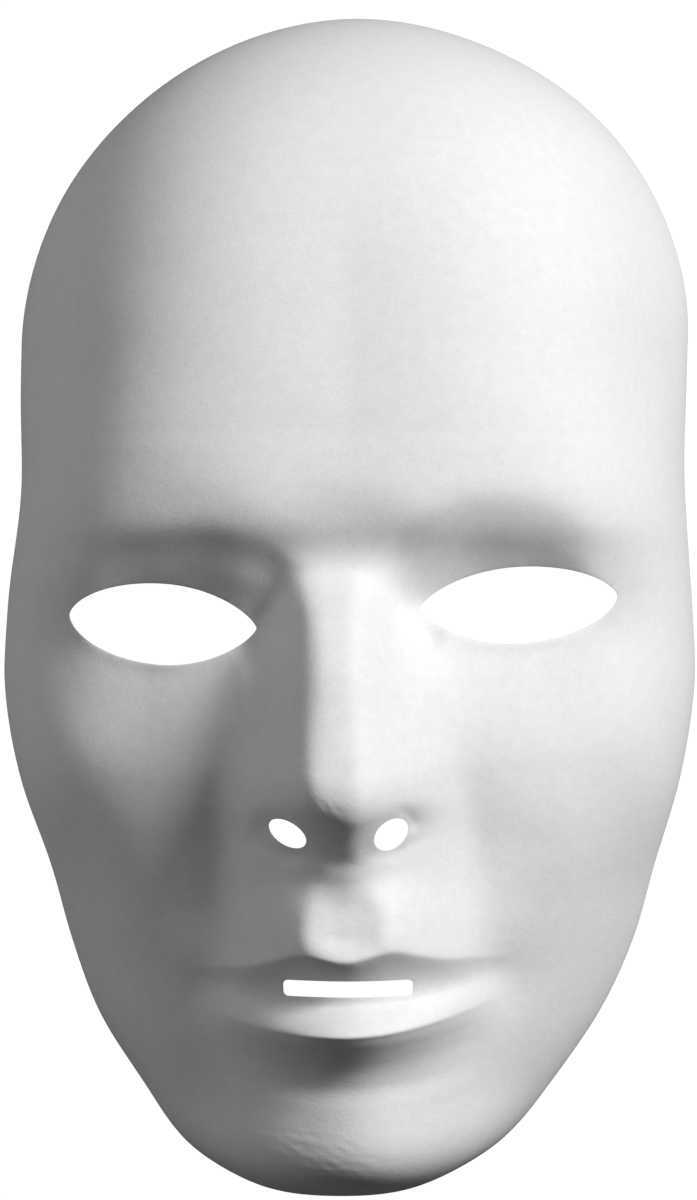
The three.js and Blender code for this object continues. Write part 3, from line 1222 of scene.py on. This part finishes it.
    @staticmethod
    def turned_out(tri: Array, plan: Array, face: WallFace) -> Array:
        """Turns triangles so that they look out of the wall.

        Args:
            tri: Triangles as rows of point numbers.
            plan: The plan points in mm.
            face: Which face they are on.

        Returns:
            The triangles, upwards on the outer face and downwards on the inner one.
        """
        a, b, c = (plan[tri[:, k]] for k in range(3))
        up = (b[:, 0] - a[:, 0]) * (c[:, 1] - a[:, 1]) > (b[:, 1] - a[:, 1]) * (c[:, 0] - a[:, 0])
        flip = up != (face is WallFace.OUTER)
        tri[flip] = tri[flip][:, ::-1]
        return tri

    def sheet(self, parts: MeshParts, face: WallFace, inset: float, spacing: float,
              height: Callable[[Array], Array]) -> tuple[Array, list[Array]]:
        """One face of the shell.

        Args:
            parts: Where the sheet is added.
            face: Which face it is.
            inset: How far its outline lies inside the rim's, in mm.
            spacing: Distance between its vertices, in mm.
            height: Heights of plan points.

        Returns:
            Vertex numbers of the rim ring and of each hole's ring.
        """
        outline = self.form.outline
        disc, plan = self.scatter(face, inset, spacing)
        clear = self.hole_clear * (self.patch_spacing if face is WallFace.OUTER else spacing)
        edge_back = self.hole_round + (self.hole_flare if face is WallFace.INNER else 0)
        rings = [hole.grown(self.form, edge_back) for hole in self.holes]
        z = height(plan)
        keep = z > self.rim_round + self.rim_clear
        for hole in self.holes:
            keep &= ~self.within(plan, hole.grown(self.form, edge_back + clear))
        disc, plan, z = disc[keep], plan[keep], z[keep]

        edge = self.rim_disc()
        loops = [edge] + [outline.to_disc(ring, inset) for ring in rings]
        tri = self.stitch(loops, disc)
        where = np.concatenate([outline.to_plan(edge, inset)] + rings + [plan])
        middle = where[tri].mean(1)
        solid = np.ones(len(tri), bool)
        for ring in rings:
            solid &= ~self.within(middle, ring)
        heights = np.concatenate(
            [np.full(len(edge), self.rim_round)] + [height(ring) for ring in rings] + [z])
        ids = parts.add(np.column_stack([where, heights]))
        parts.fill(ids[self.turned_out(tri[solid], where, face)], face)
        rim, *hole_ids = np.split(ids, np.cumsum([len(loop) for loop in loops]))[:-1]
        return rim, hole_ids

    def close_rim(self, parts: MeshParts, rim_out: Array, rim_in: Array) -> None:
        """Joins the two faces along the rim, with a rounded edge on each side.

        Args:
            parts: Where the edge is added.
            rim_out: Vertex numbers of the outer face's rim.
            rim_in: Vertex numbers of the inner face's rim.
        """
        wall, r = self.form.wall, self.rim_round
        edge = self.rim_disc()
        profile = [(r * (1 - math.cos(a)), r * (1 - math.sin(a))) for a in self.round_angles()]
        profile += [(wall - d, z) for d, z in profile[::-1]]
        last = rim_out
        for d, z in profile:
            plan = self.form.outline.to_plan(edge, d)
            ring = parts.add(np.column_stack([plan, np.full(len(plan), z)]))
            parts.band(ring, last, WallFace.OUTER)
            last = ring
        parts.band(rim_in, last, WallFace.INNER)

    def close_hole(self, parts: MeshParts, hole: Hole, top: Array, low: Array) -> None:
        """Joins the two faces round a hole, which is a little wider on the inside.

        Args:
            parts: Where the edge is added.
            hole: The hole.
            top: Vertex numbers of its ring on the outer face.
            low: Vertex numbers of its ring on the inner face.
        """
        r = self.hole_round
        last = top
        for a in self.round_angles():
            plan = hole.grown(self.form, r * (1 - math.sin(a)))
            ring = parts.add(np.column_stack([plan, self.outer(plan) - r * (1 - math.cos(a))]))
            parts.band(ring, last, WallFace.OUTER)
            last = ring
        for a in self.round_angles()[::-1]:
            plan = hole.grown(self.form, self.hole_flare + r * (1 - math.sin(a)))
            ring = parts.add(np.column_stack([plan, self.inner(plan) + r * (1 - math.cos(a))]))
            parts.band(ring, last, WallFace.OUTER)
            last = ring
        parts.band(low, last, WallFace.INNER)

    def round_angles(self) -> Array:
        """The angles of a rounded edge's steps, up to a right angle."""
        return np.linspace(0, math.pi / 2, self.round_steps + 1)[1:]

    def build(self, name: str) -> bpy.types.Mesh:
        """The whole shell.

        Args:
            name: The mesh's name.

        Returns:
            A closed mesh in metres.
        """
        parts = MeshParts()
        rim_out, holes_out = self.sheet(parts, WallFace.OUTER, 0.0, self.outer_spacing, self.outer)
        rim_in, holes_in = self.sheet(parts, WallFace.INNER, self.form.wall, self.inner_spacing,
                                      self.inner)
        self.close_rim(parts, rim_out, rim_in)
        for hole, top, low in zip(self.holes, holes_out, holes_in):
            self.close_hole(parts, hole, top, low)
        return parts.mesh(name)


# Finishes


class NodeLayout:
    """Places shader nodes from left to right and links them."""

    def __init__(self, tree: bpy.types.NodeTree) -> None:
        """Empties a tree and starts at its left.

        Args:
            tree: The node tree to fill.
        """
        self.tree = tree
        tree.nodes.clear()
        self.column = 0

    def add(self, kind: str, inputs: dict[str | int, object] | None = None,
            **settings: object) -> bpy.types.Node:
        """Adds a node.

        Args:
            kind: The node's type name.
            inputs: Values or sockets for its inputs.
            **settings: Properties of the node.

        Returns:
            The node.
        """
        node = self.tree.nodes.new(kind)
        node.location = (200 * self.column, 0)
        self.column += 1
        for key, value in settings.items():
            setattr(node, key, value)
        for key, value in (inputs or {}).items():
            if isinstance(value, bpy.types.NodeSocket):
                self.tree.links.new(value, node.inputs[key])
            else:
                node.inputs[key].default_value = value
        return node


class PulpGrainGroup:
    """The shared effect: grain, fibre flecks and mottling of pressed pulp under paint."""

    NAME = "pulp grain"
    INPUTS = (("Grain Size", 0.55), ("Mottle Size", 2.6), ("Fibre", 0.3))
    OUTPUTS = ("Height", "Mottle", "Flecks")
    BEND_SCALE = 260.0
    BEND = 0.004
    STRAND_SCALE = 620.0
    STRAND_HALF = 0.12
    MOTTLE_SHARE = 0.8

    @classmethod
    def tree(cls) -> bpy.types.NodeTree:
        """The node group, built once.

        Returns:
            A tree with the inputs Grain Size and Mottle Size in mm and Fibre, the strength of the
            strands. Height feeds a bump, Mottle and Flecks feed roughness and colour.
        """
        found = bpy.data.node_groups.get(cls.NAME)
        if found is not None:
            return found
        tree = bpy.data.node_groups.new(cls.NAME, "ShaderNodeTree")
        for name, default in cls.INPUTS:
            socket = tree.interface.new_socket(name=name, in_out="INPUT",
                                               socket_type="NodeSocketFloat")
            socket.default_value = default
        for name in cls.OUTPUTS:
            tree.interface.new_socket(name=name, in_out="OUTPUT", socket_type="NodeSocketFloat")
        lay = NodeLayout(tree)
        given = lay.add("NodeGroupInput")
        where = lay.add("ShaderNodeTexCoord").outputs["Object"]

        def per_metre(size: bpy.types.NodeSocket) -> bpy.types.NodeSocket:
            """The noise scale for a feature size in mm."""
            return lay.add("ShaderNodeMath", {0: 1000.0, 1: size},
                           operation="DIVIDE").outputs[0]

        grain = lay.add("ShaderNodeTexNoise", {
            "Vector": where, "Scale": per_metre(given.outputs["Grain Size"]),
            "Detail": 3.0, "Roughness": 0.6}).outputs["Fac"]
        mottle = lay.add("ShaderNodeTexNoise", {
            "Vector": where, "Scale": per_metre(given.outputs["Mottle Size"]),
            "Detail": 4.0, "Roughness": 0.55}).outputs["Fac"]
        bent = lay.add("ShaderNodeTexNoise", {"Vector": where, "Scale": cls.BEND_SCALE,
                                              "Detail": 2.0})
        pushed = lay.add("ShaderNodeVectorMath", {0: bent.outputs["Color"], 1: (cls.BEND,) * 3},
                         operation="MULTIPLY")
        path = lay.add("ShaderNodeVectorMath", {0: where, 1: pushed.outputs[0]}, operation="ADD")
        fibre = lay.add("ShaderNodeTexVoronoi", {
            "Vector": path.outputs[0], "Scale": cls.STRAND_SCALE},
            feature="DISTANCE_TO_EDGE").outputs["Distance"]
        strand = lay.add("ShaderNodeMapRange", {
            "Value": fibre, "From Min": 0.0, "From Max": cls.STRAND_HALF,
            "To Min": 1.0, "To Max": 0.0},
            interpolation_type="SMOOTHSTEP").outputs["Result"]
        strands = lay.add("ShaderNodeMath", {0: strand, 1: given.outputs["Fibre"]},
                          operation="MULTIPLY").outputs[0]
        share = lay.add("ShaderNodeMath", {0: mottle, 1: cls.MOTTLE_SHARE},
                        operation="MULTIPLY").outputs[0]
        height = lay.add("ShaderNodeMath", {0: grain, 1: share}, operation="ADD").outputs[0]
        total = lay.add("ShaderNodeMath", {0: height, 1: strands}, operation="ADD").outputs[0]
        flecks = lay.add("ShaderNodeMix", {0: 0.5, 2: grain, 3: mottle}).outputs[0]
        lay.add("NodeGroupOutput", {"Height": total, "Mottle": mottle, "Flecks": flecks})
        return tree


@dataclass(frozen=True)
class PulpFinish:
    """Matt white pulp, painted or bare."""

    name: str
    light: float = 0.93
    dark: float = 0.84
    roughness: float = 0.8
    roughness_spread: float = 0.08
    grain_size: float = 0.55
    mottle_size: float = 2.6
    fibre: float = 0.15
    relief: float = 0.045
    gloss: float = 0.25

    FLECK_RANGE = (0.3, 0.7)

    def material(self) -> bpy.types.Material:
        """The finish as a material.

        Returns:
            The material, with its own values in the shared group.
        """
        material = bpy.data.materials.new(self.name)
        material.use_nodes = True
        lay = NodeLayout(material.node_tree)
        group = lay.add("ShaderNodeGroup", node_tree=PulpGrainGroup.tree())
        group.inputs["Grain Size"].default_value = self.grain_size
        group.inputs["Mottle Size"].default_value = self.mottle_size
        group.inputs["Fibre"].default_value = self.fibre
        whites = lay.add("ShaderNodeValToRGB", {"Fac": group.outputs["Flecks"]})
        for stop, place, white in zip(whites.color_ramp.elements, self.FLECK_RANGE,
                                      (self.dark, self.light)):
            stop.position = place
            stop.color = (white, white, white, 1.0)
        low, high = self.FLECK_RANGE
        rough = lay.add("ShaderNodeMapRange", {
            "Value": group.outputs["Mottle"], "From Min": low, "From Max": high,
            "To Min": self.roughness + self.roughness_spread,
            "To Max": self.roughness - self.roughness_spread})
        bump = lay.add("ShaderNodeBump", {"Height": group.outputs["Height"], "Strength": 1.0,
                                          "Distance": self.relief * MM})
        shader = lay.add("ShaderNodeBsdfPrincipled", {
            "Base Color": whites.outputs["Color"], "Roughness": rough.outputs["Result"],
            "Normal": bump.outputs["Normal"]})
        shader.inputs["Specular IOR Level"].default_value = self.gloss
        lay.add("ShaderNodeOutputMaterial", {"Surface": shader.outputs[0]})
        material.diffuse_color = (self.light, self.light, self.light, 1.0)
        return material


# The mask


@dataclass
class MaskShell:
    """The mask: one moulded shell."""

    form: FaceForm = FaceForm()
    eye_left: EyeHole = EyeHole("eye_left", Side.LEFT, x=34.9, y=-1.6, half=18.85, up=7.45,
                                down=8.55, tilt=-4.1)
    eye_right: EyeHole = EyeHole("eye_right", Side.RIGHT)
    nostril_left: Nostril = Nostril("nostril_left", x=-10.7, y=-43.7, long=4.1, short=2.4,
                                    turn=-29.0)
    nostril_right: Nostril = Nostril("nostril_right")
    mouth: MouthSlot = MouthSlot("mouth")
    painted: PulpFinish = PulpFinish("painted pulp")
    bare: PulpFinish = PulpFinish("bare pulp", light=0.84, dark=0.76, roughness=0.9,
                                  grain_size=0.8, mottle_size=4.0, fibre=0.6, relief=0.09)
    creases: tuple[Wrinkles, ...] = (
        Wrinkles("wrinkles on the chin", x=-3.5, y=-108.5, half_long=20.0, half_wide=6.0,
                 slant=-15.0, pitch=1.6, depth=0.015, seed=4),
        Wrinkles("wrinkles beside the nose tip", x=-2.0, y=-39.8, half_long=5.0, half_wide=2.6,
                 slant=-50.0, pitch=1.2, depth=0.035, seed=7),
    )
    grooves: tuple[Groove, ...] = (
        Groove("right nostril's turned-in edge",
               ((10.2, -38.9), (12.2, -39.9), (13.6, -41.6), (13.9, -44.2)), 1.1, 0.5),
        Groove("furrow up the forehead", ((1.5, 26), (0.5, 50), (0.0, 84)), 3.2, 0.12),
    )
    swell: Swell = Swell(depth=0.03, wavelength=16.0, seed=5)
    inner_swell: Swell = Swell(depth=0.16, wavelength=11.0, seed=8)
    lid_width: float = 1.4
    lid_height: float = 0.3
    lid_run_out: float = 0.1
    lid_overrun: int = 15
    lid_step: int = 5
    patches: tuple[Patch, ...] = (
        Patch("mouth", -34, 34, -88, -52),
        Patch("nose tip", -24, 24, -52, -30),
        Patch("chin", -22, 16, -114, -101),
        Patch("left lower lid", -40, -13, -13, 0),
        Patch("right lower lid", 13, 40, -13, 3),
    )

    def lower_lid(self, eye: EyeHole) -> Groove:
        """The low raised edge round the lower half of an eye hole.

        Args:
            eye: The eye hole.

        Returns:
            A ridge from past the inner corner to the outer one.
        """
        ring = eye.ring(self.form)
        first, last = len(ring) // 2, len(ring)
        if eye.side is Side.RIGHT:
            first -= self.lid_overrun
        else:
            last += self.lid_overrun
        path = tuple(map(tuple, ring[np.arange(first, last, self.lid_step) % len(ring)]))
        return Groove(f"{eye.name}'s lower lid", path, self.lid_width, -self.lid_height,
                      self.lid_run_out)

    def fine(self, x: Array, y: Array) -> Array:
        """Fine relief of the outer face.

        Args:
            x: Plan x in mm.
            y: Plan y in mm.

        Returns:
            Heights over the face, in mm.
        """
        lids = (self.lower_lid(self.eye_left), self.lower_lid(self.eye_right))
        return self.swell.at(x, y) + sum(
            form.at(x, y) for form in self.creases + self.grooves + lids)

    def build(self) -> bpy.types.Object:
        """Builds the shell, with a finer mesh where the relief is finest.

        Returns:
            The shell as an object in the scene.
        """
        mesher = ShellMesher(
            self.form,
            (self.eye_left, self.eye_right, self.nostril_left, self.nostril_right, self.mouth),
            patches=self.patches, fine=self.fine, inner_fine=self.inner_swell.at)
        mesh = mesher.build("mask_shell_dressed")
        piece = bpy.data.objects.new("mask_shell_dressed", mesh)
        bpy.context.scene.collection.objects.link(piece)
        return piece

    def dress(self, piece: bpy.types.Object) -> None:
        """Gives the shell its finishes and its place in the frame.

        Args:
            piece: The object that build gave.
        """
        for finish in (self.painted, self.bare):
            piece.data.materials.append(finish.material())
        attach(piece, "root")
        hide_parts("mask_shell")


# The studio


@dataclass
class StudioFloor:
    """A plain white floor that keeps its whiteness to the camera. Its sizes are in metres."""

    half: float = 6.0
    below_rim: float = 0.0002
    white: float = 0.9
    glow: float = 1.12
    shadow_share: float = 0.1
    bounce: float = 0.15

    def build(self) -> bpy.types.Object:
        """Builds the floor.

        Returns:
            The floor as a stage object, just below the rim.
        """
        mesh = bpy.data.meshes.new("floor")
        h = self.half
        mesh.from_pydata([(-h, -h, 0), (h, -h, 0), (h, h, 0), (-h, h, 0)], [], [(0, 1, 2, 3)])
        floor = bpy.data.objects.new("floor", mesh)
        bpy.context.scene.collection.objects.link(floor)
        floor.location.z = -self.below_rim
        material = bpy.data.materials.new("studio floor")
        material.use_nodes = True
        lay = NodeLayout(material.node_tree)
        seen = lay.add("ShaderNodeBsdfDiffuse", {"Color": (self.white,) * 3 + (1.0,)})
        glow = lay.add("ShaderNodeEmission", {"Color": (1.0, 1.0, 1.0, 1.0),
                                              "Strength": self.glow})
        plain = lay.add("ShaderNodeMixShader", {0: 1 - self.shadow_share, 1: seen.outputs[0],
                                                2: glow.outputs[0]})
        lit = lay.add("ShaderNodeBsdfDiffuse", {"Color": (self.bounce,) * 3 + (1.0,)})
        path = lay.add("ShaderNodeLightPath")
        mixed = lay.add("ShaderNodeMixShader", {0: path.outputs["Is Camera Ray"],
                                                1: lit.outputs[0], 2: plain.outputs[0]})
        lay.add("ShaderNodeOutputMaterial", {"Surface": mixed.outputs[0]})
        floor.data.materials.append(material)
        return floor


@dataclass(frozen=True)
class Lamp:
    """A round soft lamp that looks at the mask.

    The bearing runs from +X towards +Y and the height is above the floor, both in degrees.
    The distance is in metres, the spread is half the lamp's width as a share of the distance, and
    the power is in watts.
    """

    name: str
    bearing: float
    height: float
    distance: float
    spread: float
    power: float
    aim_height: float = 0.03

    def build(self) -> bpy.types.Object:
        """Places the lamp.

        Returns:
            The lamp, turned to the mask.
        """
        a, e = math.radians(self.bearing), math.radians(self.height)
        towards = Vector((math.cos(a) * math.cos(e), math.sin(a) * math.cos(e), math.sin(e)))
        data = bpy.data.lights.new(self.name, "AREA")
        data.shape = "DISK"
        data.size = 2 * self.spread * self.distance
        data.energy = self.power
        lamp = bpy.data.objects.new(self.name, data)
        lamp.location = towards * self.distance + Vector((0, 0, self.aim_height))
        lamp.rotation_mode = "QUATERNION"
        lamp.rotation_quaternion = towards.to_track_quat("Z", "Y")
        bpy.context.scene.collection.objects.link(lamp)
        return lamp


@dataclass
class StudioLight:
    """A soft lamp from the upper right, a wide faint one from the left and a pale room."""

    key: Lamp = Lamp("key lamp", bearing=33.0, height=41.0, distance=2.4, spread=0.16, power=58.0)
    fill: Lamp = Lamp("fill lamp", bearing=161.0, height=18.5, distance=1.5, spread=0.6, power=7.0)
    room: float = 0.02

    def build(self) -> None:
        """Makes the lamps and the room."""
        self.key.build()
        self.fill.build()
        world = bpy.data.worlds.new("room")
        bpy.context.scene.world = world
        world.use_nodes = True
        lay = NodeLayout(world.node_tree)
        path = lay.add("ShaderNodeLightPath")
        level = lay.add("ShaderNodeMix", {0: path.outputs["Is Camera Ray"], 2: self.room, 3: 1.0})
        back = lay.add("ShaderNodeBackground", {"Strength": level.outputs[0]})
        back.inputs["Color"].default_value = (1.0, 1.0, 1.0, 1.0)
        lay.add("ShaderNodeOutputWorld", {"Surface": back.outputs[0]})


@dataclass
class StudioCamera:
    """Looks almost straight down on the face.

    The distance, the aim and the width of the field at that distance are in metres, the tilt is in
    degrees and the sensor in millimetres.
    """

    distance: float = 1.3
    tilt: float = 1.3
    aim: tuple[float, float, float] = (-0.0003, 0.0012, 0.0)
    field: float = 0.24576
    sensor: float = 36.0
    nearest: float = 0.05
    farthest: float = 50.0

    def build(self) -> None:
        """Makes the camera and makes it the scene's own."""
        data = bpy.data.cameras.new("camera")
        data.sensor_width = self.sensor
        data.lens = self.sensor * self.distance / self.field
        data.clip_start, data.clip_end = self.nearest, self.farthest
        camera = bpy.data.objects.new("camera", data)
        a = math.radians(self.tilt)
        camera.location = Vector(self.aim) + self.distance * Vector((math.sin(a), 0, math.cos(a)))
        camera.rotation_euler = (0.0, a, 0.0)
        bpy.context.scene.collection.objects.link(camera)
        bpy.context.scene.camera = camera


def main() -> None:
    """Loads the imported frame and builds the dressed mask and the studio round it."""
    logging.basicConfig(level=logging.INFO, format="%(name)s: %(message)s")
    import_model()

    mask = MaskShell()
    piece = mask.build()
    mask.dress(piece)
    LOG.info("mask shell: %d triangles", len(piece.data.polygons))

    StudioFloor().build()
    StudioLight().build()
    StudioCamera().build()
    bpy.context.scene.view_settings.view_transform = "Standard"
    LOG.info("floor, lamps, room and camera are in place")


if __name__ == "__main__":
    main()
